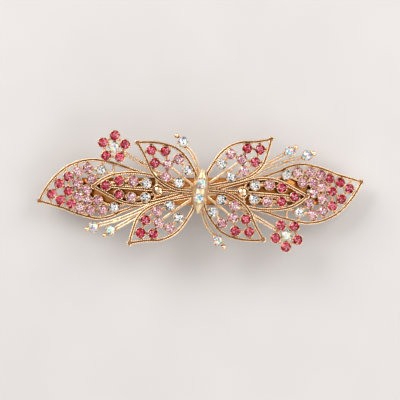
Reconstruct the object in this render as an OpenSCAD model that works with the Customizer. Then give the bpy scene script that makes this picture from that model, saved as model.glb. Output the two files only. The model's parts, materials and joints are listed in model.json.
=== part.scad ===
// Rhinestone hair clip: a French barrette carrying a butterfly-and-leaves ornament.
// X runs along the clip, Y across it, Z up from the table to the stones.
// The ornament repeats when it is turned half a turn about Z.

/* [Barrette] */
// Length of the arched base plate
plate_l = 70; // [68:1:71]
// Width of the base plate over its lips
plate_w = 8; // [7.8:0.1:8.4]
// Radius of the arch along the top of the base plate
arch_r = 125; // [123:1:130]
// Height of the top of the arch above the table
plate_top = 12; // [11.9:0.1:12.2]
// Sheet thickness of the base plate
plate_t = 0.6; // [0.5:0.05:0.7]
// Width of the clasp arm
arm_w = 5.2; // [4.8:0.1:5.3]
// Sheet thickness of the clasp arm
arm_t = 0.8; // [0.7:0.05:0.9]
// Distance of the hinge pin from the middle of the clip
hinge_x = 33.2; // [33:0.1:33.4]
// Radius of the hinge pin
pin_r = 0.6; // [0.5:0.05:0.65]
// Width of the bow spring
spring_w = 4; // [3.5:0.1:4.5]

/* [Ornament] */
// Diameter of each stone across its girdle
stone_d = 2.8; // [2.6:0.05:2.85]
// Width of the cast outline wires
wire_w = 0.9; // [0.7:0.05:1]
// Height of the cast outline wires
wire_h = 0.8; // [0.6:0.05:0.8]
// Width of the webs that join the cups
web_w = 0.75; // [0.6:0.05:0.9]
// Cups closer than this are joined by a web
web_reach = 4.3; // [4.1:0.1:4.5]
// Fall of the leaves towards their tips, in degrees
leaf_slope = 9.1; // [9:0.1:9.4]
// Rise of the wings towards their tips, in degrees
wing_rise = 3.4; // [3:0.1:4]

/* [Hidden] */
$fn = 48;
play = 0.05;            // running clearance, each side
stone_r = stone_d / 2;
table_r = stone_r * 0.55;
crown_h = 0.45;
pavilion_h = 1.0;
culet_r = 0.25;
girdle_z = 1.03;        // above the underside of its cup
cup_r = stone_r + 0.2;
cup_h = 1.2;
cup_bore_r = stone_r - 0.25;
seat_r = stone_r + 0.03;
seat_z = 0.8;
web_h = 0.6;
knob_r = 0.75;          // rounded end at each tip
joint_extra = 0.03;     // a joint stands this much proud of its wires
bead_r = 0.75;
stem_gap = 0.38;        // each wire of a double stem from its centre line
stem_w = 0.5;

// Heights of the ornament's layers
leaf_ref_x = -20;       // where the leaf heights are set
big_leaf_z = plate_top - 1.5;
inner_leaf_z = big_leaf_z + 1.1;
wing_z = plate_top + 2.75;
spray_z = plate_top + 2.2;
spray_slope = 5;
spray_ref_x = -12;
hub_z = plate_top + 1.9;
hub_h = 0.8;
body_z = plate_top + 3.85;

// Base plate, its ears and the bow spring
arch_z = plate_top - arch_r;
plate_half = asin(plate_l / 2 / arch_r);
lip_h = 1.2;
lip_t = 0.5;
pin_z = 1.5;
ear_r = 1.3;
ear_t = 0.6;
ear_y = 2.9;
ear_h = plate_top - pin_z - 4.9;
pin_head_r = 0.95;
pin_head_h = 0.35;
slot_p = [-8.7, -1.2];  // slot in the plate, and its size
slot_size = [5.8, 1.4];
spring_t = 0.4;
spring_r = 481;
spring_rise = 1;
spring_low_z = plate_top - 5;
spring_half_l = 30.4;
bar_x = 29.6;           // bars under the ends of the spring
bar_w = 1;
bar_h = 0.5;
bar_hook_h = 1.1;

// Clasp arm
knuckle_r = 1.5;
arm_proud = 0.1;        // between the faces of the arch and its feet where they meet
arm_start = [-30, arm_t / 2 + arm_proud];
arm_end = [34.5, 1.9];
arm_bow = 1;
arm_lap = 0.5;          // the arch and its feet run this far into each other
arm_end_back = 0.3;
foot_l = 3;
foot_w = arm_w - 0.2;   // the feet are a little narrower than the arch between them

// Catch
catch_x = 32;
window_l = 3.6;
window_half_w = 1.95;
prong_pivot_y = 1.4;
prong_pivot_z = plate_top - 6.3;
prong_bend_r = 0.45;
prong_w = 2;
prong_t = 0.5;
prong_low_z = 0.55;
barb_reach = window_half_w - prong_pivot_y + 0.2;
barb_h = 0.75;
tab_w = 2.8;
tab_l = 3.8;
tab_z = 3.3;
tab_lip_h = 1.5;
bracket_l = 3.2;
bracket_w = 4.4;
bracket_t = 0.5;
bracket_z = prong_pivot_z + 0.5;
catch_rivet_r = 0.62;
catch_rivet_head_r = 0.95;
catch_rivet_head_h = 0.37;
catch_rivet_z = bracket_z - 0.4;
catch_rivet_l = 2.3;

// Rivets and hub that carry the ornament
rivet_p = [-12.3, 0.3];
rivet_r = 0.7;
rivet_head_r = 1.15;
rivet_head_h = 0.5;
rivet_tail_h = 0.4;
leaf_rivet_low = plate_top - 1.75;
leaf_rivet_high = inner_leaf_z + 2.25;
big_pad_r = 1.8;        // pads of the leaves round the rivet, and how far below the wires they reach
big_pad_drop = 0.2;
inner_pad_r = 1.6;
inner_pad_drop = 0.22;
post_rivet_r = 0.8;
post_rivet_head_r = 1.3;
post_rivet_l = 5.2;
post_rivet_z = plate_top - plate_t - rivet_head_h;
hub_post_r = 2;
hub_disc_r = 3.2;
hub_bar_l = 9.5;
hub_bar_w = 2.4;
gap = 0.02;             // kept between parts that rest on each other

gold = "#D9A566";
satin_gold = "#E3C08A";
copper = "#A85A1C";
steel = "#B9B4AC";
rose = "#C8284A";
light_rose = "#E0A3B4";
crystal = "#E4E8EC";
aurora = "#DCE9EE";

// Large leaf: outline wires as [points, bow of each stretch], bow positive to the left
big_edges = [
    [[[-47.5, -2.8], [-40, 6.7], [-30.5, 9.3], [-20, 6.4], [-13, 4.4]], [0.85, 0.8, 0.35, 0]],
    [[[-47.5, -2.8], [-40, -5], [-31, -7.9], [-23.5, -6], [-13.6, -2.6]], [0, -0.3, -0.65, 0]]];
big_rose = [[-43.8, -0.8], [-41.5, 2.3], [-41.1, -2.6], [-38.8, 4.3], [-38.7, 0.1], [-37.9, -3.7]];
big_light = [[-36, 5.9], [-36, 2.3], [-35.9, -1.4], [-35.3, -4.9], [-33.1, 6.8], [-31.9, 3.5],
    [-33.4, 0.4], [-33.1, -2.6], [-30, -2.6], [-32.3, -5.6], [-28.6, -5.6]];
big_crystal = [[-29, 6.2], [-25.2, -4.8]];
big_ties = [[[-43.8, -0.8], [-45.4, 0.8]], [[-41.5, 2.3], [-43.1, 3.9]], [[-38.8, 4.3], [-39.9, 6.6]],
    [[-36, 5.9], [-36.6, 8.3]], [[-33.1, 6.8], [-33.2, 9.2]], [[-29, 6.2], [-28.8, 9]],
    [[-43.8, -0.8], [-44.4, -3.7]], [[-41.1, -2.6], [-41.8, -4.4]], [[-37.9, -3.7], [-38.5, -5.6]],
    [[-35.3, -4.9], [-35.6, -6.7]], [[-32.3, -5.6], [-32.4, -7.7]], [[-28.6, -5.6], [-28.6, -7.6]],
    [[-25.2, -4.8], [-24.6, -6.4]], [[-30, -2.6], [-25.2, -4.8]],
    [[-25.5, 5.3], [-25.4, 8]], [[-20.6, 3.9], [-20.4, 6.4]], [[-29, 6.2], [-13.2, 1]],
    [[-31.9, 3.5], [-14, 0.6]], [[-25.2, -4.8], [-13, -0.6]], [[-13, 4.4], [-12.4, 0.8]],
    [[-13.6, -2.6], [-12.4, -0.2]]];

// Inner leaf
inner_edges = [
    [[[-31.3, 1.4], [-25, 5], [-16, 5.1], [-9, 2.9], [-5.3, 0.8]], [0.5, 0.4, 0.2, 0]],
    [[[-31.3, 1.4], [-25.5, -1.8], [-17, -3.7], [-9, -1.8], [-5.3, -0.8]], [0, -0.7, -0.1, 0]]];
inner_rose = [[-27.6, 1.7], [-23.7, 3.1], [-23.8, -1]];
inner_light = [[-19.5, 3], [-20.1, -1.8]];
inner_crystal = [[-15.6, 2.3], [-15.9, -1.8]];
inner_ties = [[[-23.7, 3.1], [-23.9, 5.2]], [[-19.5, 3], [-19.5, 5.4]], [[-15.6, 2.3], [-15.5, 5]],
    [[-23.8, -1], [-24.4, -2.6]], [[-20.1, -1.8], [-20.4, -4]], [[-15.9, -1.8], [-15.7, -3.6]],
    [[-27.6, 1.7], [-29.5, 2.9]], [[-27.6, 1.7], [-28.6, -0.1]]];
inner_vein = [[-26.4, 1.5], [-12.3, 0.3], [-5.3, -0.1]];

// Upper left wing
left_edges = [
    [[[-18.4, 14.2], [-10, 13.7], [-4.3, 10.1], [-1.4, 5.1], [-1.3, 2.6]], [0.4, 0.6, 0.2, 0.15]],
    [[[-18.4, 14.2], [-15.4, 8.6], [-11.8, 3.1], [-7, 0.4], [-2.6, 0]], [0.15, -0.55, -0.25, 0]]];
left_rose = [[-14.2, 12], [-10.2, 11.7], [-13.2, 8.3]];
left_light = [[-6.3, 9.4], [-9.5, 7.8], [-10, 4.3]];
left_crystal = [[-3.7, 6.1], [-6.2, 2.6]];
left_ties = [[[-14.2, 12], [-14.4, 14.2]], [[-10.2, 11.7], [-10.2, 13.7]], [[-6.3, 9.4], [-5.3, 11.3]],
    [[-3.7, 6.1], [-2.4, 7.4]], [[-14.2, 12], [-16.4, 11.4]], [[-13.2, 8.3], [-15.3, 7.9]],
    [[-10, 4.3], [-11.6, 2.9]], [[-6.2, 2.6], [-7, 0.5]],
    [[-10, 4.3], [-13.6, 5.4]]];
left_vein = [[-8.3, 6.8], [-1.9, 1.5]];

// Upper right wing
right_edges = [
    [[[20.7, 15.3], [13, 14.4], [8.2, 12.9], [4.2, 8.7], [2.1, 5.3], [1.4, 2.7]],
        [0.3, -0.3, -0.35, -0.05, 0]],
    [[[20.7, 15.3], [18.8, 8.8], [14.9, 4.6], [8.3, 2.6], [2.8, 1.6]], [0.1, 0.45, 0.3, 0]]];
right_rose = [[13.7, 12.5], [17.4, 12.2], [16, 8.5]];
right_light = [[8.9, 10.9], [12.2, 9.3], [12.7, 5.9]];
right_crystal = [[6.3, 7.9], [9, 4.3]];
right_ties = [[[13.7, 12.5], [13.6, 14.3]], [[17.4, 12.2], [17.2, 14.8]], [[8.9, 10.9], [7.8, 12.3]],
    [[6.3, 7.9], [4.4, 8.8]], [[17.4, 12.2], [19.6, 12.4]], [[16, 8.5], [18.6, 8.6]],
    [[12.7, 5.9], [14.3, 4.4]], [[9, 4.3], [8.4, 2.7]]];
right_vein = [[10.9, 8.1], [2.3, 2.2]];

// Flower, sprays and buds
flower_p = [-25.2, 12.9];
petal_ring = 3.4;
petal_turn = 13;
petals = 5;
flower_stem = [[-22, 11.1], [-17.2, 8.3], [-12.2, 5.2]];
flower_stem_bows = [0.02, 0.02];
spray_buds = [[-26.1, -11.5], [-31.2, -10.5]];
spray_beads = [[-27.9, -12.9], [-33.2, -11.1]];
spray_stems = [[[-25, -11], [-20.8, -8.7], [-13.9, -4.4]], [[-30.2, -9.9], [-25, -8.6], [-14.9, -4.3]]];
spray_stem_bows = [[-0.05, -0.08], [-0.12, -0.25]];
top_bud = [-5.1, 14.4];
top_bead = [-6.9, 16.3];
top_stem = [[-4.2, 12.9], [-1.8, 9.8], [-0.8, 6.5], [-0.35, 3.9]];
top_stem_bows = [0.16, 0.12, 0];

// Butterfly body: half profile along its length as [radius, distance]
body_profile = [[0, -6.6], [0.7, -6.4], [1.15, -5.4], [1.75, -3.8], [2.1, -1.6], [2.1, 1.6],
    [1.75, 3.8], [1.15, 5.4], [0.7, 6.4], [0, 6.6]];
body_lean = -8;
body_axis_z = 0.5;
body_stones = [[0.15, 2.25], [-0.15, -2.25]];
body_seat_z = 2.45;
body_bore_z = seat_z - pavilion_h + 0.1;    // bottoms of the bores behind the body's stones

// ---- helpers ----

// A point of the plan, moved along a sloping layer so that it still lies above its place in plan
function laid(p, x0, slope) = [(p.x - x0) / cos(slope), p.y];
function laid_all(points, x0, slope) = [for (p = points) laid(p, x0, slope)];
function join3(a, b, c) = concat(a, b, c);

// A layer that falls by slope degrees from x0 towards -X
module sloped(x0, z, slope) translate([x0, 0, z]) rotate([0, -slope, 0]) children();

module half_turn() rotate(180) children();

// A flat band from p to q, moved off its line to the left by off
module straight_band(p, q, w, h, off = 0)
    translate(p) rotate(atan2(q.y - p.y, q.x - p.x)) translate([0, off - w / 2, 0])
        cube([norm(q - p), w, h]);

// The same along an arc that bows to the left of the way
module arc_band(p, q, bow, w, h, off = 0) {
    chord = norm(q - p);
    r = (chord * chord / 4 + bow * bow) / (2 * abs(bow));
    half = asin(chord / 2 / r);
    side = sign(bow);
    translate((p + q) / 2) rotate(atan2(q.y - p.y, q.x - p.x)) translate([0, bow - side * r])
        rotate(side * 90 - half) rotate_extrude(angle = 2 * half)
        translate([r + side * off - w / 2, 0]) square([w, h]);
}

module band(p, q, bow, w, h, off = 0) {
    if (bow == 0) straight_band(p, q, w, h, off);
    else arc_band(p, q, bow, w, h, off);
}

module wire(points, bows, w, h) {
    for (i = [0 : len(points) - 2]) band(points[i], points[i + 1], bows[i], w, h);
    for (i = [1 : len(points) - 1]) translate(points[i]) cylinder(r = w / 2 + joint_extra, h = h);
}

module double_stem(points, bows) {
    for (side = [-1, 1], i = [0 : len(points) - 2])
        band(points[i], points[i + 1], bows[i], stem_w, wire_h, side * stem_gap);
    for (p = points) translate(p) cylinder(r = stem_gap + stem_w / 2 + joint_extra, h = web_h);
}

// Webs between every two cups that stand closer than web_reach
module webs(cups) {
    for (i = [0 : len(cups) - 1], j = [0 : len(cups) - 1])
        if (i < j && norm(cups[i] - cups[j]) < web_reach) straight_band(cups[i], cups[j], web_w, web_h);
}

module cup_blanks(cups) for (p = cups) translate(p) cylinder(r = cup_r, h = cup_h);

module cup_bores(cups) {
    for (p = cups) translate(p) {
        translate([0, 0, -1]) cylinder(r = cup_bore_r, h = cup_h + 2);
        translate([0, 0, seat_z]) cylinder(r = seat_r, h = cup_h);
    }
}

module stone() {
    rotate_extrude() polygon([[0, girdle_z - pavilion_h], [culet_r, girdle_z - pavilion_h],
        [stone_r, girdle_z], [table_r, girdle_z + crown_h], [0, girdle_z + crown_h]]);
}

// Small round-shouldered bead beside a bud
module bead() rotate_extrude() polygon([[0, 0], [0.6 * bead_r, 0], [bead_r, 0.5 * bead_r],
    [bead_r, 1.1 * bead_r], [0.6 * bead_r, 1.7 * bead_r], [0, 1.9 * bead_r]]);

module stones(points) for (p = points) translate(p) stone();

// An open casting: outline wires, cups, webs and ties, with the cups bored for their stones
module casting(edges, cups, ties) {
    difference() {
        union() {
            for (e = edges) wire(e[0], e[1], wire_w, wire_h);
            translate(edges[0][0][0]) cylinder(r = knob_r, h = wire_h + joint_extra);
            for (t = ties) straight_band(t[0], t[1], web_w, web_h);
            webs(cups);
            cup_blanks(cups);
            children();
        }
        cup_bores(cups);
    }
}

function laid_edges(edges, x0, slope) = [for (e = edges) [laid_all(e[0], x0, slope), e[1]]];
function laid_ties(ties, x0, slope) = [for (t = ties) laid_all(t, x0, slope)];

// ---- layers ----

module big_layer() sloped(leaf_ref_x, big_leaf_z, leaf_slope) children();
module inner_layer() sloped(leaf_ref_x, inner_leaf_z, leaf_slope) children();
module spray_layer() sloped(spray_ref_x, spray_z, spray_slope) children();
module wing_layer() translate([0, 0, wing_z]) rotate([wing_rise, 0, 0]) children();
module sprig_layer() translate([0, 0, hub_z]) children();
module body_layer() translate([0, 0, body_z]) rotate(body_lean) children();

module rivet_hole() translate([rivet_p.x, rivet_p.y, 0]) cylinder(r = rivet_r + play, h = 2 * plate_top);

// ---- ornament castings ----

module big_leaf() {
    difference() {
        big_layer() casting(laid_edges(big_edges, leaf_ref_x, leaf_slope),
            laid_all(join3(big_rose, big_light, big_crystal), leaf_ref_x, leaf_slope),
            laid_ties(big_ties, leaf_ref_x, leaf_slope))
            translate(laid(rivet_p, leaf_ref_x, leaf_slope)) translate([0, 0, -big_pad_drop])
                cylinder(r = big_pad_r, h = wire_h + big_pad_drop);
        rivet_hole();
    }
}

module inner_leaf() {
    difference() {
        inner_layer() casting(laid_edges(inner_edges, leaf_ref_x, leaf_slope),
            laid_all(join3(inner_rose, inner_light, inner_crystal), leaf_ref_x, leaf_slope),
            laid_ties(inner_ties, leaf_ref_x, leaf_slope)) {
            wire(laid_all(inner_vein, leaf_ref_x, leaf_slope), [0, 0], wire_w, wire_h);
            translate(laid(rivet_p, leaf_ref_x, leaf_slope)) translate([0, 0, -inner_pad_drop])
                cylinder(r = inner_pad_r, h = wire_h + joint_extra + inner_pad_drop);
        }
        rivet_hole();
    }
}

module left_wing() wing_layer() casting(left_edges, join3(left_rose, left_light, left_crystal),
    left_ties) wire(left_vein, [0], web_w, web_h);

module right_wing() wing_layer() casting(right_edges, join3(right_rose, right_light, right_crystal),
    right_ties) wire(right_vein, [0], web_w, web_h);

function petal_points() = [for (i = [0 : petals - 1])
    flower_p + petal_ring * [cos(petal_turn + i * 360 / petals), sin(petal_turn + i * 360 / petals)]];

module flower() {
    cups = laid_all(concat(petal_points(), [flower_p]), spray_ref_x, spray_slope);
    spray_layer() difference() {
        union() {
            webs(cups);
            cup_blanks(cups);
            double_stem(laid_all(flower_stem, spray_ref_x, spray_slope), flower_stem_bows);
        }
        cup_bores(cups);
    }
}

module spray() {
    cups = laid_all(spray_buds, spray_ref_x, spray_slope);
    beads = laid_all(spray_beads, spray_ref_x, spray_slope);
    spray_layer() difference() {
        union() {
            cup_blanks(cups);
            for (i = [0 : len(spray_stems) - 1])
                double_stem(laid_all(spray_stems[i], spray_ref_x, spray_slope), spray_stem_bows[i]);
            for (i = [0 : len(cups) - 1]) {
                straight_band(cups[i], beads[i], web_w, web_h);
                translate(beads[i]) bead();
            }
        }
        cup_bores(cups);
    }
}

module sprig() {
    sprig_layer() difference() {
        union() {
            cup_blanks([top_bud]);
            double_stem(top_stem, top_stem_bows);
            straight_band(top_bud, top_bead, web_w, web_h);
            translate(top_bead) bead();
        }
        cup_bores([top_bud]);
    }
}

module large_leaf_left() color(gold) big_leaf();
module large_leaf_right() color(gold) half_turn() big_leaf();
module inner_leaf_left() color(gold) inner_leaf();
module inner_leaf_right() color(gold) half_turn() inner_leaf();
module wing_upper_left() color(gold) left_wing();
module wing_upper_right() color(gold) right_wing();
module wing_lower_right() color(gold) half_turn() left_wing();
module wing_lower_left() color(gold) half_turn() right_wing();
module flower_left() color(gold) flower();
module flower_right() color(gold) half_turn() flower();
module spray_left() color(gold) spray();
module spray_right() color(gold) half_turn() spray();
module sprig_top() color(gold) sprig();
module sprig_bottom() color(gold) half_turn() sprig();

module butterfly_body() color(satin_gold) difference() {
    body_layer() {
        intersection() {
            translate([0, 0, body_axis_z]) rotate([-90, 0, 0]) rotate_extrude() polygon(body_profile);
            translate([-plate_w, -plate_w, 0]) cube(2 * plate_w);
        }
        for (p = body_stones) translate([p.x, p.y, body_axis_z])
            cylinder(r = cup_r, h = body_seat_z - seat_z + cup_h - body_axis_z);
    }
    body_layer() for (p = body_stones) translate([p.x, p.y, body_seat_z - seat_z]) {
        translate([0, 0, body_bore_z]) cylinder(r = cup_bore_r, h = cup_h);
        translate([0, 0, seat_z]) cylinder(r = seat_r, h = cup_h);
    }
    cylinder(r = post_rivet_r + play, h = body_z + 1);
}

// ---- stones ----

module big_stones(points) big_layer() stones(laid_all(points, leaf_ref_x, leaf_slope));
module inner_stones(points) inner_layer() stones(laid_all(points, leaf_ref_x, leaf_slope));
module wing_stones(points) wing_layer() stones(points);
module spray_stones(points) spray_layer() stones(laid_all(points, spray_ref_x, spray_slope));

module large_leaf_left_rose() color(rose) big_stones(big_rose);
module large_leaf_left_light_rose() color(light_rose) big_stones(big_light);
module large_leaf_left_crystal() color(crystal) big_stones(big_crystal);
module large_leaf_right_rose() color(rose) half_turn() big_stones(big_rose);
module large_leaf_right_light_rose() color(light_rose) half_turn() big_stones(big_light);
module large_leaf_right_crystal() color(crystal) half_turn() big_stones(big_crystal);
module inner_leaf_left_rose() color(rose) inner_stones(inner_rose);
module inner_leaf_left_light_rose() color(light_rose) inner_stones(inner_light);
module inner_leaf_left_crystal() color(crystal) inner_stones(inner_crystal);
module inner_leaf_right_rose() color(rose) half_turn() inner_stones(inner_rose);
module inner_leaf_right_light_rose() color(light_rose) half_turn() inner_stones(inner_light);
module inner_leaf_right_crystal() color(crystal) half_turn() inner_stones(inner_crystal);
module wing_upper_left_rose() color(rose) wing_stones(left_rose);
module wing_upper_left_light_rose() color(light_rose) wing_stones(left_light);
module wing_upper_left_crystal() color(crystal) wing_stones(left_crystal);
module wing_upper_right_rose() color(rose) wing_stones(right_rose);
module wing_upper_right_light_rose() color(light_rose) wing_stones(right_light);
module wing_upper_right_crystal() color(crystal) wing_stones(right_crystal);
module wing_lower_left_rose() color(rose) half_turn() wing_stones(right_rose);
module wing_lower_left_light_rose() color(light_rose) half_turn() wing_stones(right_light);
module wing_lower_left_crystal() color(crystal) half_turn() wing_stones(right_crystal);
module wing_lower_right_rose() color(rose) half_turn() wing_stones(left_rose);
module wing_lower_right_light_rose() color(light_rose) half_turn() wing_stones(left_light);
module wing_lower_right_crystal() color(crystal) half_turn() wing_stones(left_crystal);
module flower_left_petals() color(rose) spray_stones(petal_points());
module flower_left_centre() color(aurora) spray_stones([flower_p]);
module flower_right_petals() color(rose) half_turn() spray_stones(petal_points());
module flower_right_centre() color(aurora) half_turn() spray_stones([flower_p]);
module spray_left_stones() color(aurora) spray_stones(spray_buds);
module spray_right_stones() color(aurora) half_turn() spray_stones(spray_buds);
module sprig_stones() color(aurora) for (turn = [0, 180]) rotate(turn) sprig_layer() stones([top_bud]);
module body_stones() color(aurora) body_layer() for (p = body_stones)
    translate([p.x, p.y, body_seat_z - seat_z]) stone();

// ---- barrette ----

// A strip bent to the arch, from its section of [radius, y] points
module arched(half) translate([0, 0, arch_z]) rotate([90, 0, 0]) rotate(90 - half)
    rotate_extrude(angle = 2 * half) children();

// A rod along Y, centred on the middle of the clip
module rod_y(x, z, r, l) translate([x, l / 2, z]) rotate([90, 0, 0]) cylinder(r = r, h = l);

module ear(side) {
    translate([-hinge_x - ear_r, side > 0 ? ear_y : -ear_y - ear_t, pin_z])
        cube([2 * ear_r, ear_t, ear_h]);
    translate([-hinge_x, side > 0 ? ear_y + ear_t : -ear_y, pin_z]) rotate([90, 0, 0])
        cylinder(r = ear_r, h = ear_t);
}

// Bar under one end of the bow spring, hung from the lips
module spring_bar(x) translate([x - bar_w / 2, 0, spring_low_z - bar_h]) {
    translate([0, -plate_w / 2, 0]) cube([bar_w, plate_w, bar_h]);
    for (y = [-plate_w / 2, plate_w / 2 - lip_t]) translate([0, y, 0]) cube([bar_w, lip_t, bar_hook_h]);
}

module barrette_plate() color(copper) difference() {
    union() {
        arched(plate_half) polygon([[arch_r, -plate_w / 2], [arch_r, plate_w / 2],
            [arch_r - lip_h, plate_w / 2], [arch_r - lip_h, plate_w / 2 - lip_t],
            [arch_r - plate_t, plate_w / 2 - lip_t], [arch_r - plate_t, lip_t - plate_w / 2],
            [arch_r - lip_h, lip_t - plate_w / 2], [arch_r - lip_h, -plate_w / 2]]);
        for (side = [-1, 1]) {
            ear(side);
            spring_bar(side * bar_x);
        }
    }
    rod_y(-hinge_x, pin_z, pin_r, 2 * plate_w);
    for (turn = [0, 180]) rotate(turn) {
        rivet_hole();
        translate([slot_p.x - slot_size.x / 2, slot_p.y - slot_size.y / 2, 0])
            cube([slot_size.x, slot_size.y, 2 * plate_top]);
    }
    cylinder(r = post_rivet_r + play, h = 2 * plate_top);
    translate([catch_x, 0, 0]) cylinder(r = rivet_r, h = 2 * plate_top);
}

module hinge_pin() color(steel) {
    rod_y(-hinge_x, pin_z, pin_r, 2 * (ear_y + ear_t));
    for (y = [-ear_y - ear_t, ear_y + ear_t + pin_head_h])
        translate([-hinge_x, y, pin_z]) rotate([90, 0, 0]) cylinder(r = pin_head_r, h = pin_head_h);
}

// A block across the arm, from x and as high as z
module foot(x, l, z) translate([x, -foot_w / 2, 0]) cube([l, foot_w, z]);

module clasp_arm() color(copper) difference() {
    union() {
        translate([0, arm_w / 2, 0]) rotate([90, 0, 0])
            arc_band(arm_start, arm_end, arm_bow, arm_t, arm_w);
        rod_y(-hinge_x, pin_z, knuckle_r, foot_w);
        foot(-hinge_x, hinge_x + arm_start.x + arm_lap, arm_t);
        foot(arm_end.x - arm_end_back, arm_t, arm_end.y + arm_t / 2 + arm_proud);
        foot(arm_end.x - arm_end_back, foot_l, arm_t);
    }
    rod_y(-hinge_x, pin_z, pin_r + play, 2 * arm_w);
    translate([catch_x - window_l / 2, -window_half_w, 0])
        cube([window_l, 2 * window_half_w, arm_end.y + 2 * arm_t]);
}

module bow_spring() color(steel) translate([0, 0, spring_low_z + spring_rise - spring_r])
    rotate([90, 0, 0]) rotate(90 - asin(spring_half_l / spring_r))
    rotate_extrude(angle = 2 * asin(spring_half_l / spring_r))
    translate([spring_r, -spring_w / 2]) square([spring_t, spring_w]);

module catch_bracket() color(steel) difference() {
    translate([catch_x - bracket_l / 2, -bracket_w / 2, bracket_z])
        cube([bracket_l, bracket_w, bracket_t]);
    translate([catch_x, 0, 0]) cylinder(r = rivet_r, h = 2 * plate_top);
}

// The rear prong: a sprung strip that hangs from its bend, with a thumb tab and a barb
module prong() translate([catch_x, prong_pivot_y, 0]) {
    translate([-prong_w / 2, 0, prong_pivot_z]) rotate([0, 90, 0])
        cylinder(r = prong_bend_r, h = prong_w);
    translate([-prong_w / 2, -prong_t / 2, prong_low_z]) {
        cube([prong_w, prong_t, prong_pivot_z - prong_low_z]);
        cube([prong_w, barb_reach, barb_h]);
    }
    translate([-tab_w / 2, 0, tab_z]) cube([tab_w, tab_l, prong_t]);
    translate([-tab_w / 2, tab_l - prong_t, tab_z]) cube([tab_w, prong_t, tab_lip_h]);
}

module catch_prong_rear() color(steel) prong();
module catch_prong_front() color(steel) mirror([0, 1, 0]) prong();

module catch_rivet() color(steel) translate([catch_x, 0, catch_rivet_z]) {
    cylinder(r = catch_rivet_r, h = catch_rivet_l);
    cylinder(r = catch_rivet_head_r, h = catch_rivet_head_h);
}

// ---- rivets and hub that carry the ornament ----

module leaf_rivet() translate([rivet_p.x, rivet_p.y, 0]) {
    translate([0, 0, leaf_rivet_low]) cylinder(r = rivet_r, h = leaf_rivet_high - leaf_rivet_low);
    translate([0, 0, leaf_rivet_low]) cylinder(r = rivet_head_r, h = rivet_tail_h);
    translate([0, 0, leaf_rivet_high]) cylinder(r = rivet_head_r, h = rivet_head_h);
}

module leaf_rivets() color(gold) for (turn = [0, 180]) rotate(turn) leaf_rivet();

module centre_rivet() color(steel) translate([0, 0, post_rivet_z]) {
    cylinder(r = post_rivet_r, h = post_rivet_l);
    cylinder(r = post_rivet_head_r, h = rivet_head_h - gap);
}

module centre_hub() color(gold) difference() {
    union() {
        translate([0, 0, plate_top + gap]) cylinder(r = hub_post_r, h = hub_z - plate_top);
        translate([0, 0, hub_z]) cylinder(r = hub_disc_r, h = hub_h);
        translate([-hub_bar_l / 2, -hub_bar_w / 2, hub_z]) cube([hub_bar_l, hub_bar_w, hub_h]);
    }
    cylinder(r = post_rivet_r + play, h = 2 * plate_top);
}

barrette_plate();
hinge_pin();
clasp_arm();
bow_spring();
catch_bracket();
catch_prong_front();
catch_prong_rear();
catch_rivet();
leaf_rivets();
centre_rivet();
centre_hub();
large_leaf_left();
large_leaf_right();
inner_leaf_left();
inner_leaf_right();
wing_upper_left();
wing_upper_right();
wing_lower_left();
wing_lower_right();
butterfly_body();
flower_left();
flower_right();
spray_left();
spray_right();
sprig_top();
sprig_bottom();
large_leaf_left_rose();
large_leaf_left_light_rose();
large_leaf_left_crystal();
large_leaf_right_rose();
large_leaf_right_light_rose();
large_leaf_right_crystal();
inner_leaf_left_rose();
inner_leaf_left_light_rose();
inner_leaf_left_crystal();
inner_leaf_right_rose();
inner_leaf_right_light_rose();
inner_leaf_right_crystal();
wing_upper_left_rose();
wing_upper_left_light_rose();
wing_upper_left_crystal();
wing_upper_right_rose();
wing_upper_right_light_rose();
wing_upper_right_crystal();
wing_lower_left_rose();
wing_lower_left_light_rose();
wing_lower_left_crystal();
wing_lower_right_rose();
wing_lower_right_light_rose();
wing_lower_right_crystal();
flower_left_petals();
flower_left_centre();
flower_right_petals();
flower_right_centre();
body_stones();
spray_left_stones();
spray_right_stones();
sprig_stones();
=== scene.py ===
import json
import math

import bmesh
import bpy
import numpy as np
from mathutils import Matrix, Vector
from mathutils.bvhtree import BVHTree


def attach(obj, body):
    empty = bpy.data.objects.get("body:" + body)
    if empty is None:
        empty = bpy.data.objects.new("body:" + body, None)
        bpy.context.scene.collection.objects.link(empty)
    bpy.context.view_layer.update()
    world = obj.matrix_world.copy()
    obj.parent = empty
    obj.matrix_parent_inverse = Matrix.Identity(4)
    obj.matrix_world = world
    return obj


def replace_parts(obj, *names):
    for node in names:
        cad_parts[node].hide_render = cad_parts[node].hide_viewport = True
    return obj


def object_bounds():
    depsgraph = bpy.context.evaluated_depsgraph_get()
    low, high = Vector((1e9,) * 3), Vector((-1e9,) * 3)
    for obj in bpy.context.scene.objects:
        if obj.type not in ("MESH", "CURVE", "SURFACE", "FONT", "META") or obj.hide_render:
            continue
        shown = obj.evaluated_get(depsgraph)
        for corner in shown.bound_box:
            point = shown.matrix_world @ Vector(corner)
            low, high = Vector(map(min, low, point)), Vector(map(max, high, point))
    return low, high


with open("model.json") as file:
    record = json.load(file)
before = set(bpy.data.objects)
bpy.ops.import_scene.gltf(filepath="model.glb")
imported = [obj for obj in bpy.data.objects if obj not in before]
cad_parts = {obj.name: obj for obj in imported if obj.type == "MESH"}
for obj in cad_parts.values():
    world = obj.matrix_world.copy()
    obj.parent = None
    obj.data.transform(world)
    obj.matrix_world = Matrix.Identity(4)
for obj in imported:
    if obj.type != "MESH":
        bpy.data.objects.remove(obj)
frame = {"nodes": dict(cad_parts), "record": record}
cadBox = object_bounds()
mm = 0.001
weld = 0.002 * mm    # CAD corners closer than this are one point
up = Vector((0, 0, 1))
scene = bpy.context.scene
print("frame loaded:", len(frame["nodes"]), "nodes")


# small helpers

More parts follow.
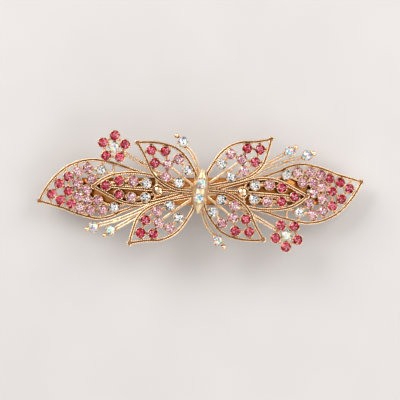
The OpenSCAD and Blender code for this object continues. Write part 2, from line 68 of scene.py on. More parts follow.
def linear(hexColour):
    # sRGB hex to the linear values that the sockets take
    parts = [int(hexColour[i:i + 2], 16) / 255 for i in (1, 3, 5)]
    return [c / 12.92 if c <= 0.04045 else ((c + 0.055) / 1.055) ** 2.4 for c in parts] + [1.0]


def addNode(tree, kind, settings=None, inputs=None, links=None):
    # one node, its settings, its socket values, and links as {input: output socket}
    node = tree.nodes.new(kind)
    for name, value in (settings or {}).items():
        setattr(node, name, value)
    for name, value in (inputs or {}).items():
        node.inputs[name].default_value = value
    for name, socket in (links or {}).items():
        tree.links.new(socket, node.inputs[name])
    return node


def setRamp(node, stops):
    ramp = node.color_ramp
    while len(ramp.elements) < len(stops):
        ramp.elements.new(0.5)
    for element, (place, colour) in zip(ramp.elements, stops):
        element.position = place
        element.color = linear(colour)
    return node


def newMaterial(name):
    material = bpy.data.materials.new(name)
    material.use_nodes = True
    tree = material.node_tree
    return material, tree, tree.nodes["Principled BSDF"]


def linkPiece(name, mesh):
    piece = bpy.data.objects.new(name, mesh)
    scene.collection.objects.link(piece)
    return piece


def meshFrom(name, vertices, faces):
    mesh = bpy.data.meshes.new(name)
    mesh.from_pydata([tuple(v) for v in vertices], [], faces)
    mesh.update()
    return mesh


def bake(piece):
    # what the modifiers make of the piece, as its plain mesh
    bpy.context.view_layer.update()
    depsgraph = bpy.context.evaluated_depsgraph_get()
    mesh = bpy.data.meshes.new_from_object(piece.evaluated_get(depsgraph))
    piece.modifiers.clear()
    piece.data = mesh
    return piece


def newTree(name, sockets):
    # a geometry tree with these inputs, by name and kind, and a geometry output
    tree = bpy.data.node_groups.new(name, "GeometryNodeTree")
    for label, kind in sockets.items():
        tree.interface.new_socket(label, in_out="INPUT", socket_type="NodeSocket" + kind)
    tree.interface.new_socket("Geometry", in_out="OUTPUT", socket_type="NodeSocketGeometry")
    return tree, addNode(tree, "NodeGroupInput").outputs


def endTree(tree, geometry, material):
    # makes the instances real, gives them their material and sends them out
    real = addNode(tree, "GeometryNodeRealizeInstances", links={"Geometry": geometry})
    dressed = addNode(tree, "GeometryNodeSetMaterial",
                      links={"Geometry": real.outputs["Geometry"], "Material": material})
    addNode(tree, "NodeGroupOutput", links={"Geometry": dressed.outputs["Geometry"]})
    return tree


def runTree(piece, tree, values):
    # the piece as the tree makes it from these input values
    modifier = piece.modifiers.new(tree.name, "NODES")
    modifier.node_group = tree
    for item in tree.interface.items_tree:
        if item.in_out == "INPUT" and item.name in values:
            modifier[item.identifier] = values[item.name]
    return bake(piece)


def weldedCad(node):
    # the CAD node's triangles joined up, to be edited apart from the node
    work = bmesh.new()
    work.from_mesh(frame["nodes"][node].data)
    bmesh.ops.remove_doubles(work, verts=work.verts, dist=weld)
    return work


def mergedCopy(node, scale=1.0):
    work = weldedCad(node)
    bmesh.ops.dissolve_degenerate(work, edges=work.edges, dist=weld / 2)
    work.transform(Matrix.Scale(scale, 4))
    mesh = bpy.data.meshes.new(node + "_copy")
    work.to_mesh(mesh)
    work.free()
    return mesh


def bodyOf(node):
    return next(body for body, nodes in frame["record"]["behaviour"]["bodies"].items() if node in nodes)


def slotOf(node):
    return next(s["material_slot"] for s in frame["record"]["subparts"] if s["node"] == node)


def finishPiece(piece, node, material, smooth=True):
    # dresses the piece in the given material, and gives it the body of its CAD node
    piece.data.materials.clear()
    piece.data.materials.append(material)
    if smooth:
        piece.data.shade_smooth()
    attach(piece, bodyOf(node))
    return piece


# materials

# each look: its light colour is open metal with painted highlight, its two darker colours are painted shade
# for grooves and hollows
goldLook = {"light": "#FFDEB6", "base": "#CA8E5A", "paintedShade": "#5A2C14", "roughness": 0.12}
satinLook = {"light": "#F8E4C0", "base": "#E0BA86", "paintedShade": "#9A6634", "roughness": 0.34}
orangeLook = {"light": "#D89450", "base": "#A2622C", "paintedShade": "#3A1A08", "roughness": 0.2}
nickelLook = {"light": "#E2DED6", "base": "#B8B2A8", "paintedShade": "#5E5850", "roughness": 0.24}
# shares of brightness: the crease and groove shares are painted shade, the edge share is a painted highlight
# that partly stands for wear, the patchy share is random tone
shadeAndWear = {"cloud": 5, "bluntest": 0.46, "sharpest": 0.56,    # mm; how pointed an edge is
        "creaseShade": -0.15, "wearAndHighlight": 0.2, "grooveShadeShare": -0.26, "patchy": 0.2,    # shares of brightness
        "stops": (0.3, 0.72, 1.0), "smoothest": 0.7, "roughest": 1.4, "brushing": 0.04, "relief": 0.5}


def platedMetal(name, look, grainMm, bumpHeight, shadeReachMm=0.8, brushed=False):
    # plating over cast or stamped metal: a painted highlight on sharp edges, partly standing for wear, and
    # painted shade in grooves, creases and hollows
    material, tree, shader = newMaterial(name)
    coords = addNode(tree, "ShaderNodeTexCoord")
    mapping = addNode(tree, "ShaderNodeMapping", links={"Vector": coords.outputs["Object"]})
    mapping.inputs["Scale"].default_value = (shadeAndWear["brushing"] if brushed else 1, 1, 1)
    grain = addNode(tree, "ShaderNodeTexNoise", inputs={"Scale": 1 / (grainMm * mm), "Detail": 3.0},
                    links={"Vector": mapping.outputs["Vector"]})
    cloud = addNode(tree, "ShaderNodeTexNoise", inputs={"Scale": 1 / (shadeAndWear["cloud"] * mm), "Detail": 2.0},
                    links={"Vector": coords.outputs["Object"]})
    # painted shade where nearby metal hems a point in, and in creases; a painted highlight on sharp edges,
    # partly standing for wear
    reach = addNode(tree, "ShaderNodeAmbientOcclusion", {"samples": 6}, {"Distance": shadeReachMm * mm})
    geometry = addNode(tree, "ShaderNodeNewGeometry")
    wearAndHighlight = addNode(tree, "ShaderNodeMapRange",
                     inputs={"From Min": shadeAndWear["bluntest"], "From Max": shadeAndWear["sharpest"],
                             "To Min": shadeAndWear["creaseShade"], "To Max": shadeAndWear["wearAndHighlight"]},
                     links={"Value": geometry.outputs["Pointiness"]})
    # painted shade from the hollows, plus painted crease shade or a painted edge highlight
    bare = addNode(tree, "ShaderNodeMath", {"operation": "ADD"},
                   links={0: reach.outputs["AO"], 1: wearAndHighlight.outputs["Result"]})
    # painted shade in the grooves between the rails
    grooveShadeMask = addNode(tree, "ShaderNodeAttribute", {"attribute_name": "grooveShadeMask"})
    left = addNode(tree, "ShaderNodeMath", {"operation": "MULTIPLY_ADD"}, {1: shadeAndWear["grooveShadeShare"]},
                   {0: grooveShadeMask.outputs["Fac"], 2: bare.outputs["Value"]})
    bright = addNode(tree, "ShaderNodeMath", {"operation": "MULTIPLY_ADD"}, {1: shadeAndWear["patchy"]},
                     {0: cloud.outputs["Fac"], 2: left.outputs["Value"]})
    # the brightness picks a colour: open metal and painted highlight at the light end, painted shade towards
    # the dark end
    colour = setRamp(addNode(tree, "ShaderNodeValToRGB", links={"Fac": bright.outputs["Value"]}),
                     list(zip(shadeAndWear["stops"], (look["paintedShade"], look["base"], look["light"]))))
    rough = addNode(tree, "ShaderNodeMapRange",
                    inputs={"To Min": look["roughness"] * shadeAndWear["smoothest"],
                            "To Max": look["roughness"] * shadeAndWear["roughest"]},
                    links={"Value": cloud.outputs["Fac"]})
    bump = addNode(tree, "ShaderNodeBump",
                   inputs={"Strength": shadeAndWear["relief"], "Distance": bumpHeight * mm},
                   links={"Height": grain.outputs["Fac"]})
    tree.links.new(colour.outputs["Color"], shader.inputs["Base Color"])
    tree.links.new(rough.outputs["Result"], shader.inputs["Roughness"])
    tree.links.new(bump.outputs["Normal"], shader.inputs["Normal"])
    shader.inputs["Metallic"].default_value = 1.0
    return material


# polished champagne gold over a white metal casting: smooth, faintly rippled, with painted brown shade in the
# hollows
champagneGoldPlate = platedMetal("champagneGoldPlate", goldLook, grainMm=0.5, bumpHeight=0.02)
# the same plating left matt on a granulated body: wide soft highlights
satinGoldPlate = platedMetal("satinGoldPlate", satinLook, grainMm=0.25, bumpHeight=0.05)
# orange gold flash on rolled sheet steel: bright, with rolling lines along the clip, and painted shade
# reaching wide under the castings above it
orangeGoldSheet = platedMetal("orangeGoldSheet", orangeLook, grainMm=0.3, bumpHeight=0.008, shadeReachMm=2.5,
                              brushed=True)
# nickel on spring steel: grey and bright, rolled lengthways
nickelSpringSteel = platedMetal("nickelSpringSteel", nickelLook, grainMm=0.3, bumpHeight=0.006, brushed=True)


glass = {"paintedFacetLight": 0.55, "shade": 0.45, "drift": 0.06,    # shares of the painted facet light, and its random spread
         "Roughness": 0.12, "IOR": 1.55, "Coat Weight": 0.6, "Coat Roughness": 0.03}


def chatonGlass(name, stops, metallic=0.2):
    # foil-backed cut glass: each facet gets its own painted reflection of the foil, under a clear gloss
    material, tree, shader = newMaterial(name)
    paintedFacetLight = addNode(tree, "ShaderNodeAttribute", {"attribute_name": "paintedFacetLight"})
    shade = addNode(tree, "ShaderNodeAttribute", {"attribute_name": "shade"})
    lot = addNode(tree, "ShaderNodeAttribute", {"attribute_name": "lot"})
    spread = addNode(tree, "ShaderNodeMath", {"operation": "MULTIPLY"}, {1: glass["shade"]},
                     {0: shade.outputs["Fac"]})
    mixed = addNode(tree, "ShaderNodeMath", {"operation": "MULTIPLY_ADD"}, {1: glass["paintedFacetLight"]},
                    {0: paintedFacetLight.outputs["Fac"], 2: spread.outputs["Value"]})
    drift = addNode(tree, "ShaderNodeMapRange", inputs={"To Min": -glass["drift"], "To Max": glass["drift"]},
                    links={"Value": lot.outputs["Fac"]})
    total = addNode(tree, "ShaderNodeMath", {"operation": "ADD"},
                    links={0: mixed.outputs["Value"], 1: drift.outputs["Result"]})
    colour = setRamp(addNode(tree, "ShaderNodeValToRGB", links={"Fac": total.outputs["Value"]}), stops)
    tree.links.new(colour.outputs["Color"], shader.inputs["Base Color"])
    shader.inputs["Metallic"].default_value = metallic
    for label in ("Roughness", "IOR", "Coat Weight", "Coat Roughness"):
        shader.inputs[label].default_value = glass[label]
    return material


# rose lead glass: crimson, with painted dark red shade and painted pink glints on its facets
roseGlass = chatonGlass("roseChatonGlass", [(0.2, "#3C0210"), (0.38, "#8A0820"), (0.5, "#BC1038"),
                                            (0.64, "#D82A50"), (0.82, "#F898A8")])
# light rose glass: dusty pink, with painted mauve shade on its facets
lightRoseGlass = chatonGlass("lightRoseChatonGlass", [(0.2, "#68303C"), (0.38, "#A25C6C"), (0.5, "#CE8A98"),
                                                      (0.64, "#ECBAC2"), (0.82, "#FFF4F2")])
# clear crystal over silver foil: painted black shade and white glints on facets side by side
crystalGlass = chatonGlass("crystalChatonGlass", [(0.22, "#0E1216"), (0.36, "#5A6268"), (0.44, "#C4CACE"),
                                                  (0.56, "#F6F8FA"), (0.8, "#FFFFFF")])
# crystal with a rainbow coat: patches of cyan, yellow, violet and rose on white, painted facet by facet as
# reflections of the coat
auroraGlass = chatonGlass("auroraChatonGlass", [(0.16, "#6A58B8"), (0.28, "#48B8DC"), (0.38, "#D0F6F4"),
                                                (0.5, "#FFFFFF"), (0.62, "#FFFBD8"), (0.7, "#F6E25A"),
                                                (0.8, "#F08CB8"), (0.9, "#90E4D4")], metallic=0.15)
slotMaterials = {"gold_casting": champagneGoldPlate, "satin_gold_casting": satinGoldPlate,
                 "copper_plated_steel": orangeGoldSheet, "spring_steel": nickelSpringSteel,
                 "rose_stone": roseGlass, "light_rose_stone": lightRoseGlass,
                 "crystal_stone": crystalGlass, "aurora_stone": auroraGlass}
print("materials made")


# castings: each CAD casting with its edges melted round, as metal comes from a rubber mould

casting = {"grid": 0.1, "smoothing": 4, "keep": 0.5,    # voxel in mm, passes, share of faces kept
           "cupRise": 0.4, "grooveDepth": 0.13, "grooveBand": 0.12, "top": 0.8}    # mm; cosine of a top
facesUp = 0.9    # least cosine of a face that looks up
plainCastings = {"butterfly_body": 16, "centre_hub": 6, "leaf_rivets": 8}    # passes that round them


def mainNormal(faces, digits):
    # the way that most of the upward area faces, from (normal, area) pairs
    flats = {}
    for normal, area in faces:
        if normal.z > facesUp:
            key = tuple(round(c, digits) for c in normal)
            flats[key] = flats.get(key, 0) + area
    return Vector(max(flats, key=flats.get)).normalized()


def layer(mesh):
    # the way a casting faces, and the height of its wires' tops along it
    axis = mainNormal([(face.normal, face.area) for face in mesh.polygons], 3)
    return axis, max(v.co.dot(axis) for v in mesh.vertices) - casting["cupRise"] * mm


def castPiece(node):
    piece = linkPiece(node + "_cast", mergedCopy(node, 1 / mm))    # in mm, or the voxels come out too small
    remesh = piece.modifiers.new("melt", "REMESH")
    remesh.mode = "VOXEL"
    remesh.voxel_size = casting["grid"]
    smooth = piece.modifiers.new("polish", "SMOOTH")
    smooth.iterations = plainCastings.get(node, casting["smoothing"])
    bake(piece)
    piece.data.transform(Matrix.Scale(mm, 4))
    if node not in plainCastings:
        cutGroove(piece.data, *layer(frame["nodes"][node].data))
    thin = piece.modifiers.new("thin", "DECIMATE")
    thin.ratio = 1.0 if node in plainCastings else casting["keep"]
    bake(piece)
    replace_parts(finishPiece(piece, node, slotMaterials[slotOf(node)]), node)
    return piece


def readVectors(collection, name):
    values = np.empty(len(collection) * 3)
    collection.foreach_get(name, values)
    return values.reshape(-1, 3)


def cutGroove(mesh, axis, level):
    # sinks the wires' tops between their rails, and marks them for painted shade in the groove
    places, normals = readVectors(mesh.vertices, "co"), readVectors(mesh.vertex_normals, "vector")
    sunk = (abs(places @ axis - level) < casting["grooveBand"] * mm) & (normals @ axis > casting["top"])
    places[sunk] -= np.array(axis) * casting["grooveDepth"] * mm
    mesh.vertices.foreach_set("co", places.ravel())
    grooveShadeMask = mesh.attributes.new("grooveShadeMask", "FLOAT", "POINT")
    grooveShadeMask.data.foreach_set("value", sunk.astype(float))
    mesh.update()


rivetHead = {"height": 0.5, "drop": 0.34}    # mm; how far its rim lies below its top


def domeHeads(mesh):
    # the two rivets' heads, snapped round by the riveting punch
    places, height = readVectors(mesh.vertices, "co"), rivetHead["height"] * mm
    foot = places[:, 2].max() - height
    for side in (-1, 1):
        own = places[:, 0] * side > 0
        middle = (places[own].max(0) + places[own].min(0)) / 2
        reach = np.hypot(*(places[own] - middle)[:, :2].T)
        lift = np.clip((places[own][:, 2] - foot) / height, 0, 1)
        places[own, 2] -= rivetHead["drop"] * mm * lift * (reach / reach.max()) ** 2
    mesh.vertices.foreach_set("co", places.ravel())
    mesh.update()


castNodes = [n for n in frame["nodes"] if slotOf(n) in ("gold_casting", "satin_gold_casting")]
castPieces = {node: castPiece(node) for node in castNodes}
domeHeads(castPieces["leaf_rivets"].data)
print("castings made:", sum(len(p.data.polygons) for p in castPieces.values()), "faces")


# rails: the two raised twisted edges of every outline wire, with a groove between them

rail = {"radius": 0.16, "inset": 0.13, "sink": 0.02, "pitch": 0.6, "slack": 0.04,    # mm
        "twist": 0.22, "top": 0.99, "wall": 0.1,    # share of the radius; cosines of tops and walls
        "opposed": 0.01}    # walls that face each other leave a corner where it is


def railTree():
    # a round wire along each path, which swells and thins as twisted wire does
    tree, given = newTree("twistedRail", {"Path": "Geometry", "Radius": "Float", "Pitch": "Float",
                                          "Twist": "Float", "Material": "Material"})
    line = addNode(tree, "GeometryNodeMeshToCurve", links={"Mesh": given["Path"]})
    step = addNode(tree, "ShaderNodeMath", {"operation": "DIVIDE"}, {1: 4.0}, {0: given["Pitch"]})
    even = addNode(tree, "GeometryNodeResampleCurve", {"mode": "LENGTH"},
                   links={"Curve": line.outputs["Curve"], "Length": step.outputs["Value"]})
    along = addNode(tree, "GeometryNodeSplineParameter")
    turns = addNode(tree, "ShaderNodeMath", {"operation": "DIVIDE"},
                    links={0: along.outputs["Length"], 1: given["Pitch"]})
    angle = addNode(tree, "ShaderNodeMath", {"operation": "MULTIPLY"}, {1: 2 * math.pi},
                    {0: turns.outputs["Value"]})
    wave = addNode(tree, "ShaderNodeMath", {"operation": "SINE"}, links={0: angle.outputs["Value"]})
    swell = addNode(tree, "ShaderNodeMath", {"operation": "MULTIPLY_ADD"}, {2: 1.0},
                    {0: wave.outputs["Value"], 1: given["Twist"]})
    thick = addNode(tree, "ShaderNodeMath", {"operation": "MULTIPLY"},
                    links={0: swell.outputs["Value"], 1: given["Radius"]})
    ring = addNode(tree, "GeometryNodeCurvePrimitiveCircle", inputs={"Resolution": 6, "Radius": 1.0})
    tube = addNode(tree, "GeometryNodeCurveToMesh", inputs={"Fill Caps": True},
                   links={"Curve": even.outputs["Curve"], "Profile Curve": ring.outputs["Curve"],
                          "Scale": thick.outputs["Value"]})
    return endTree(tree, tube.outputs["Mesh"], given["Material"])


twistedRail = railTree()


def topRims(node):
    # the edges between the wires' tops and their walls, moved inwards onto the tops
    work = weldedCad(node)
    axis, level = layer(frame["nodes"][node].data)
    points, edges, numbers, inwards = [], [], {}, {}
    for edge in work.edges:
        if len(edge.link_faces) != 2:
            continue
        if max(abs(v.co.dot(axis) - level) for v in edge.verts) > rail["slack"] * mm:
            continue
        tops = [f for f in edge.link_faces if f.normal.dot(axis) > rail["top"]]
        walls = [f for f in edge.link_faces if abs(f.normal.dot(axis)) < rail["wall"]]
        if len(tops) != 1 or len(walls) != 1 or walls[0].calc_center_median().dot(axis) > level:
            continue
        for v in edge.verts:
            if v.index not in numbers:
                numbers[v.index] = len(points)
                points.append(v.co.copy())
                inwards[v.index] = Vector()
            inwards[v.index] -= walls[0].normal
        edges.append([numbers[v.index] for v in edge.verts])
    for index, number in numbers.items():
        away = inwards[index].normalized() if inwards[index].length > rail["opposed"] else Vector()
        points[number] += (away * rail["inset"] - axis * rail["sink"]) * mm
    work.free()
    return points, edges


def railPiece(node):
    points, edges = topRims(node)
    if not edges:
        return
    mesh = bpy.data.meshes.new(node + "_rails")
    mesh.from_pydata([tuple(p) for p in points], edges, [])
    metal = slotMaterials[slotOf(node)]
    piece = runTree(linkPiece(node + "_rails", mesh), twistedRail,
                    {"Radius": rail["radius"] * mm, "Pitch": rail["pitch"] * mm, "Twist": rail["twist"],
                     "Material": metal})
    finishPiece(piece, node, metal)


for node in castNodes:
    if node not in plainCastings:
        railPiece(node)
print("rails made")


# sheet metal: the CAD node with its edges broken

sheet = {"edge": 0.07, "angle": 35, "flat": 0.5}    # mm; degrees that count as an edge, and as flat


def sheetPiece(node):
    piece = linkPiece(node + "_metal", mergedCopy(node, 1 / mm))
    flat = piece.modifiers.new("flat", "DECIMATE")
    flat.decimate_type = "DISSOLVE"
    flat.angle_limit = math.radians(sheet["flat"])
    edge = piece.modifiers.new("edge", "BEVEL")
    edge.width = sheet["edge"]
    edge.segments = 2
    edge.limit_method = "ANGLE"
    edge.angle_limit = math.radians(sheet["angle"])
    bake(piece)
    piece.data.transform(Matrix.Scale(mm, 4))
    finishPiece(piece, node, slotMaterials[slotOf(node)])
    piece.data.set_sharp_from_angle(angle=math.radians(sheet["angle"]))
    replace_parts(piece, node)
    return piece


sheetNodes = [n for n in frame["nodes"] if slotOf(n) in ("copper_plated_steel", "spring_steel")]
for node in sheetNodes:
    sheetPiece(node)
print("barrette made")


# one tree sets a part on every point of a mesh, turned as the point says

def settingTree():
    tree, given = newTree("setOnPoints", {"Points": "Geometry", "Part": "Object", "Size": "Float",
                                          "Seed": "Int", "Material": "Material"})
    part = addNode(tree, "GeometryNodeObjectInfo", links={"Object": given["Part"]})
    turn = addNode(tree, "GeometryNodeInputNamedAttribute", {"data_type": "FLOAT_VECTOR"}, {"Name": "turn"})
    placed = addNode(tree, "GeometryNodeInstanceOnPoints",
                     links={"Points": given["Points"], "Instance": part.outputs["Geometry"],
                            "Rotation": turn.outputs["Attribute"], "Scale": given["Size"]})
    index = addNode(tree, "GeometryNodeInputIndex")
    lot = addNode(tree, "FunctionNodeRandomValue", {"data_type": "FLOAT"},
                  links={"ID": index.outputs["Index"], "Seed": given["Seed"]})
    marked = addNode(tree, "GeometryNodeStoreNamedAttribute", {"data_type": "FLOAT", "domain": "INSTANCE"},
                     {"Name": "lot"}, {"Geometry": placed.outputs["Instances"], "Value": lot.outputs[1]})
    real = addNode(tree, "GeometryNodeRealizeInstances", links={"Geometry": marked.outputs["Geometry"]})
    # a random share of painted facet light for each face
    shade = addNode(tree, "FunctionNodeRandomValue", {"data_type": "FLOAT"},
                    links={"ID": index.outputs["Index"], "Seed": given["Seed"]})
    shaded = addNode(tree, "GeometryNodeStoreNamedAttribute", {"data_type": "FLOAT", "domain": "FACE"},
                     {"Name": "shade"}, {"Geometry": real.outputs["Geometry"], "Value": shade.outputs[1]})
    return endTree(tree, shaded.outputs["Geometry"], given["Material"])


setOnPoints = settingTree()


def setParts(name, part, places, size, seed, material):
    # places are (point, rotation matrix) pairs, in metres
    mesh = meshFrom(name, [p for p, _ in places], [])
    turns = mesh.attributes.new("turn", "FLOAT_VECTOR", "POINT")
    turns.data.foreach_set("vector", [a for _, m in places for a in m.to_euler()])
    return runTree(linkPiece(name, mesh), setOnPoints,
                   {"Part": part, "Size": size, "Seed": seed, "Material": material})


def partObject(name, mesh):
    # a pattern that the tree copies: kept out of the scene
    return bpy.data.objects.new(name, mesh)


# stones

chaton = {"table": 0.56, "star": 0.76, "crown": 0.32, "pavilion": 0.70, "culet": 0.16,
          "girdle": 0.04, "sides": 8,    # shares of the girdle radius
          "starDrop": 0.9}    # share of the straight slope from table to girdle
paintedFacetLevels = {"table": [0.95, 0.12], "star": [0.3, 0.7], "kite": [0.75, 0.3], "upper": [0.12, 0.55],
              "under": 0.2}    # painted light for each facet, in turn round the stone


def chatonMesh():
    # a round chaton of girdle radius 1 with its table centre at the origin, facing +Z
    sides, table, star, crown = chaton["sides"], chaton["table"], chaton["star"], chaton["crown"]

    def ring(radius, height, count, offset):
        return [Vector((radius * math.cos(2 * math.pi * (i + offset) / count),
                        radius * math.sin(2 * math.pi * (i + offset) / count), height)) for i in range(count)]

    rings = [[Vector((0, 0, 0))], ring(table, 0, sides, 0),
             ring(star, -chaton["starDrop"] * crown * (star - table) / (1 - table), sides, 0.5),
             ring(1, -crown, 2 * sides, 0), ring(1, -crown - chaton["girdle"], 2 * sides, 0),
             ring(chaton["culet"], -crown - chaton["pavilion"], sides, 0)]
    centre, rim, point, girdle, lower, culet = [int(s) for s in np.cumsum([0] + [len(r) for r in rings])[:6]]
    faces, tones = [], []

    def add(tone, *corners):
        faces.append(corners)
        tones.append(tone)

    for i in range(sides):
        j, before, side = (i + 1) % sides, (i - 1) % sides, i % 2
        a, b, c = 2 * i, 2 * i + 1, (2 * i + 2) % (2 * sides)
        add(paintedFacetLevels["table"][side], centre, rim + i, rim + j)
        add(paintedFacetLevels["star"][side], rim + i, point + i, rim + j)
        add(paintedFacetLevels["kite"][side], rim + i, point + before, girdle + a, point + i)
        add(paintedFacetLevels["upper"][0], point + i, girdle + a, girdle + b)
        add(paintedFacetLevels["upper"][1], point + i, girdle + b, girdle + c)
        for k, n in ((a, b), (b, c)):
            add(paintedFacetLevels["under"], girdle + k, lower + k, lower + n, girdle + n)
        add(paintedFacetLevels["under"], lower + a, culet + i, lower + b)
        add(paintedFacetLevels["under"], lower + b, culet + i, culet + j, lower + c)
    add(paintedFacetLevels["under"], *[culet + i for i in reversed(range(sides))])
    mesh = meshFrom("chaton", [v for r in rings for v in r], faces)
    tone = mesh.attributes.new("paintedFacetLight", "FLOAT", "FACE")
    tone.data.foreach_set("value", tones)
    work = bmesh.new()
    work.from_mesh(mesh)
    bmesh.ops.recalc_face_normals(work, faces=work.faces)
    work.to_mesh(mesh)
    work.free()
    return mesh


claw = {"count": 4, "sides": 6,    # its path as distance from the stone's axis, height and thickness
        "path": [(1.13, -0.62, 0.13), (1.12, -0.3, 0.14), (1.06, -0.14, 0.15), (0.93, -0.02, 0.13),
                 (0.86, 0.0, 0.06)]}


def clawMesh():
    # the claws of one cup, for a stone of girdle radius 1 with its table centre at the origin
    path, sides = claw["path"], claw["sides"]
    vertices, faces = [], []
    for turn in range(claw["count"]):
        spin = Matrix.Rotation(2 * math.pi * (turn + 0.5) / claw["count"], 3, "Z")
        first = len(vertices)
        for step, (radius, height, thick) in enumerate(path):
            ahead = Vector(path[min(step + 1, len(path) - 1)][:2]) - Vector(path[max(step - 1, 0)][:2])
            lean = math.atan2(ahead.x, ahead.y)
            for side in range(sides):
                a = 2 * math.pi * side / sides
                across = Vector((thick * math.cos(a) * math.cos(lean), thick * math.sin(a),
                                 -thick * math.cos(a) * math.sin(lean)))
                vertices.append(spin @ (Vector((radius, 0, height)) + across))
        for step in range(len(path) - 1):
            for side in range(sides):
                a, b = first + step * sides + side, first + step * sides + (side + 1) % sides
                faces.append([a, b, b + sides, a + sides])
        faces.append([first + side for side in reversed(range(sides))])
        faces.append([first + (len(path) - 1) * sides + side for side in range(sides)])
    mesh = meshFrom("claws", vertices, faces)
    mesh.shade_smooth()
    return mesh


def stoneSeats(node):
    # where each stone of a CAD node sits: its table centre, its axis and its girdle radius
    work = weldedCad(node)
    seats, seen = [], set()
    for start in work.verts:
        if start.index in seen:
            continue
        island, todo = [], [start]
        seen.add(start.index)
        while todo:
            vertex = todo.pop()
            island.append(vertex)
            for edge in vertex.link_edges:
                other = edge.other_vert(vertex)
                if other.index not in seen:
                    seen.add(other.index)
                    todo.append(other)
        axis = mainNormal([(f.normal, f.calc_area()) for f in {f for v in island for f in v.link_faces}], 2)
        heights = [v.co.dot(axis) for v in island]
        top = [v.co for v, h in zip(island, heights) if h > max(heights) - 5 * weld]
        table = sum(top, Vector()) / len(top)
        radius = max((v.co - table - axis * (v.co - table).dot(axis)).length for v in island)
        seats.append((table, axis, radius))
    work.free()
    return sorted(seats, key=lambda seat: (round(seat[0].x, 5), round(seat[0].y, 5)))


def facing(axis, spin=0.0):
    return axis.to_track_quat("Z", "Y").to_matrix() @ Matrix.Rotation(spin, 3, "Z")


stoneCut = partObject("chatonPattern", chatonMesh())
clawRing = partObject("clawPattern", clawMesh())
setting = {"stoneTurn": 2.4, "clawTurn": 1.1,    # radians from one stone and cup to the next
           "stoneStart": 0.7, "clawStart": 0.3, "stoneSeed": 11, "clawSeed": 71}


def setStones(node, number):
    # the node's stones, each dropped into its cup at its own angle; gives their seats
    seats = stoneSeats(node)
    places = [(table, facing(axis, setting["stoneStart"] * number + setting["stoneTurn"] * i))
              for i, (table, axis, _) in enumerate(seats)]
    material = slotMaterials[slotOf(node)]
    piece = setParts(node + "_cut", stoneCut, places, seats[0][2], setting["stoneSeed"] + number, material)
    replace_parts(finishPiece(piece, node, material, smooth=False), node)
    return seats


def castingOf(node):
    # the casting whose cups hold the node's stones
    owner = next((c for c in castNodes if node.startswith(c)), None)
    return owner or {"body_stones": "butterfly_body", "sprig_stones": "sprig_top"}[node]


clawPlaces = {}
for number, node in enumerate(n for n in frame["nodes"] if slotOf(n).endswith("_stone")):
    seats = setStones(node, number)
    clawPlaces.setdefault(castingOf(node), []).extend(
        (table, facing(axis, setting["clawTurn"] * i + setting["clawStart"] * number))
        for i, (table, axis, _) in enumerate(seats))
stoneRadius = seats[0][2]
for number, (owner, places) in enumerate(clawPlaces.items()):
    piece = setParts(owner + "_claws", clawRing, places, stoneRadius, setting["clawSeed"] + number,
                     champagneGoldPlate)
    finishPiece(piece, owner, champagneGoldPlate)
print("stones set:", sum(len(p) for p in clawPlaces.values()))


# granulation: small balls soldered in rows on the body's two ends

granule = {"radius": 0.3, "pitch": 0.56, "sink": 0.12, "flat": 0.85,    # mm; share of its height kept
           "bare": 3.95, "seed": 91}    # mm from the middle of the body to the first row


def grainMesh():
    # a ball of melted wire, a little flattened
    work = bmesh.new()
    bmesh.ops.create_icosphere(work, subdivisions=2, radius=1)
    work.transform(Matrix.Diagonal((1, 1, granule["flat"], 1)))
    mesh = bpy.data.meshes.new("grain")
    work.to_mesh(mesh)
    work.free()
    mesh.shade_smooth()
    return mesh


grain = partObject("grainPattern", grainMesh())


def dropGrain(tree, x, y):
    # a ball's place on the casting below it, turned as the metal slopes
    hit, normal, _, _ = tree.ray_cast(Vector((x, y, 1)), -up)
    return None if hit is None else (hit - normal * granule["sink"] * mm, facing(normal))


def setGrains(node, spots, seed):
    tree = BVHTree.FromPolygons([v.co for v in castPieces[node].data.vertices],
                                [f.vertices for f in castPieces[node].data.polygons])
    places = [place for place in (dropGrain(tree, x, y) for x, y in spots) if place]
    metal = slotMaterials[slotOf(node)]
    piece = setParts(node + "_grains", grain, places, granule["radius"] * mm, seed, metal)
    finishPiece(piece, node, metal)
    print(node, "grains:", len(places))


def endRows(node):
    # rows across both ends of a long casting, one ball shorter each time towards the tip
    points = [v.co for v in castPieces[node].data.vertices]
    head, tail = max(points, key=lambda p: p.y), min(points, key=lambda p: p.y)
    way = (head - tail).to_2d().normalized()
    across = Vector((way.y, -way.x))
    middle = (head + tail).to_2d() / 2
    rows = int(((head - tail).length / 2 / mm - granule["bare"]) / granule["pitch"])
    spots = []
    for end in (-1, 1):
        for row in range(rows):
            along = granule["bare"] + row * granule["pitch"]
            count = rows + 1 - row
            for i in range(count):
                spot = way * end * along + across * (i - (count - 1) / 2) * granule["pitch"]
                spots.append(middle + spot * mm)
    return spots


setGrains("butterfly_body", endRows("butterfly_body"), granule["seed"])


# drops of solder: small balls scattered on the leaves' webs, from the rivets outwards

scatter = {"from": 10, "to": 31, "apart": 0.9, "drop": 0.2, "slack": 0.04,    # mm
           "tries": 900, "spotSeed": 101, "ballSeed": 121}


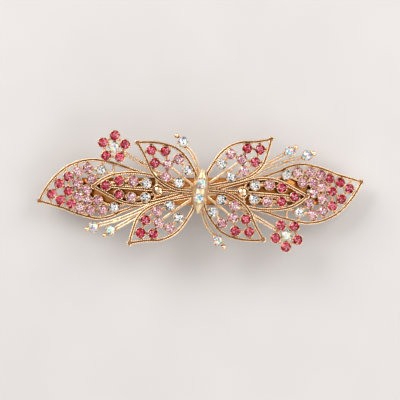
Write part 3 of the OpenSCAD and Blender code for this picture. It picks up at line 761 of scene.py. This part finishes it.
def webSpots(node, seed):
    # places on the webs' tops, which lie a little lower than the wires' tops
    mesh = frame["nodes"][node].data
    axis, level = layer(mesh)
    level -= scatter["drop"] * mm
    tops = []
    for face in mesh.polygons:
        corners = [mesh.vertices[v].co for v in face.vertices]
        isTop = face.normal.dot(axis) > rail["top"]
        if isTop and abs(corners[0].dot(axis) - level) < scatter["slack"] * mm:
            tops.append((face.area, corners))
    dice = np.random.default_rng(seed)
    shares = np.array([area for area, _ in tops])
    kept = []
    for pick in dice.choice(len(tops), scatter["tries"], p=shares / shares.sum()):
        a, b, c = tops[pick][1][:3]
        u, v = sorted(dice.random(2))
        spot = a * u + b * (v - u) + c * (1 - v)
        inReach = scatter["from"] * mm < abs(spot.x) < scatter["to"] * mm
        if inReach and all((spot - other).length > scatter["apart"] * mm for other in kept):
            kept.append(spot)
    return [(spot.x, spot.y) for spot in kept]


for number, node in enumerate(n for n in castNodes if "leaf_left" in n or "leaf_right" in n):
    setGrains(node, webSpots(node, scatter["spotSeed"] + number), scatter["ballSeed"] + number)


# camera, lights and table

# in mm: how far off, how wide the view is at the height of the plane, and what is in its middle
lens = {"distance": 600, "span": 117.3, "plane": 12, "aim": (-0.1, -2.55), "sensor": 36, "near": 50,
        "far": 10000}
camera = bpy.data.objects.new("camera", bpy.data.cameras.new("camera"))
scene.collection.objects.link(camera)
scene.camera = camera
camera.data.sensor_width = lens["sensor"]
camera.data.lens = lens["sensor"] * lens["distance"] / lens["span"]
camera.location = Vector((*lens["aim"], lens["distance"] + lens["plane"])) * mm    # looks straight down
camera.data.clip_start = lens["near"] * mm
camera.data.clip_end = lens["far"] * mm

studio = {"aim": (0, 0, 10), "table": 1500, "tableGap": 0.01, "mottle": 30,    # mm
          "sky": 0.95, "cardRoughness": 0.7, "cardShine": 0.2}
softboxes = [    # place and size in mm, brightness of the cloth as the metal sees it
    {"name": "key", "eye": (-380, 330, 420), "size": 400, "cloth": 5.6},
    {"name": "side", "eye": (390, 300, 430), "size": 360, "cloth": 3.8},
    {"name": "fill", "eye": (420, -260, 380), "size": 360, "cloth": 2.6},
    {"name": "rim", "eye": (60, -520, 240), "size": 280, "cloth": 2.6}]
for box in softboxes:
    data = bpy.data.lights.new(box["name"], "AREA")
    data.shape = "SQUARE"
    data.size = box["size"] * mm
    data.energy = box["cloth"] * math.pi * data.size ** 2
    light = bpy.data.objects.new(box["name"], data)
    scene.collection.objects.link(light)
    light.location = Vector(box["eye"]) * mm
    aim = Vector(studio["aim"]) * mm
    light.rotation_euler = (aim - light.location).to_track_quat("-Z", "Y").to_euler()

world = bpy.data.worlds.new("studio")    # a light tent: bright above, dark towards the horizon
world.use_nodes = True
sky = world.node_tree
skyWay = addNode(sky, "ShaderNodeTexCoord")
skyHeight = addNode(sky, "ShaderNodeSeparateXYZ", links={"Vector": skyWay.outputs["Generated"]})
skyShade = setRamp(addNode(sky, "ShaderNodeValToRGB", links={"Fac": skyHeight.outputs["Z"]}),
                   [(0.0, "#2A2622"), (0.4, "#3A342E"), (0.65, "#8C8680"), (0.85, "#E6E2DE"),
                    (1.0, "#D2CECA")])
sky.links.new(skyShade.outputs["Color"], sky.nodes["Background"].inputs["Color"])
sky.nodes["Background"].inputs["Strength"].default_value = studio["sky"]
scene.world = world
scene.view_settings.view_transform = "Standard"


def tableMaterial():
    # coated white card: matt and faintly mottled
    material, tree, shader = newMaterial("paleCard")
    coords = addNode(tree, "ShaderNodeTexCoord")
    mottle = addNode(tree, "ShaderNodeTexNoise", inputs={"Scale": 1 / (studio["mottle"] * mm), "Detail": 2.0},
                     links={"Vector": coords.outputs["Object"]})
    colour = setRamp(addNode(tree, "ShaderNodeValToRGB", links={"Fac": mottle.outputs["Fac"]}),
                     [(0.3, "#D6D3D2"), (0.7, "#DAD7D6")])
    tree.links.new(colour.outputs["Color"], shader.inputs["Base Color"])
    shader.inputs["Roughness"].default_value = studio["cardRoughness"]
    shader.inputs["Specular IOR Level"].default_value = studio["cardShine"]
    return material


tableZ = cadBox[0].z - studio["tableGap"] * mm
corners = [(x * studio["table"] * mm, y * studio["table"] * mm, tableZ)
           for x, y in ((-1, -1), (1, -1), (1, 1), (-1, 1))]
floor = linkPiece("floor", meshFrom("floor", corners, [[0, 1, 2, 3]]))
floor.data.materials.append(tableMaterial())
print("studio ready")
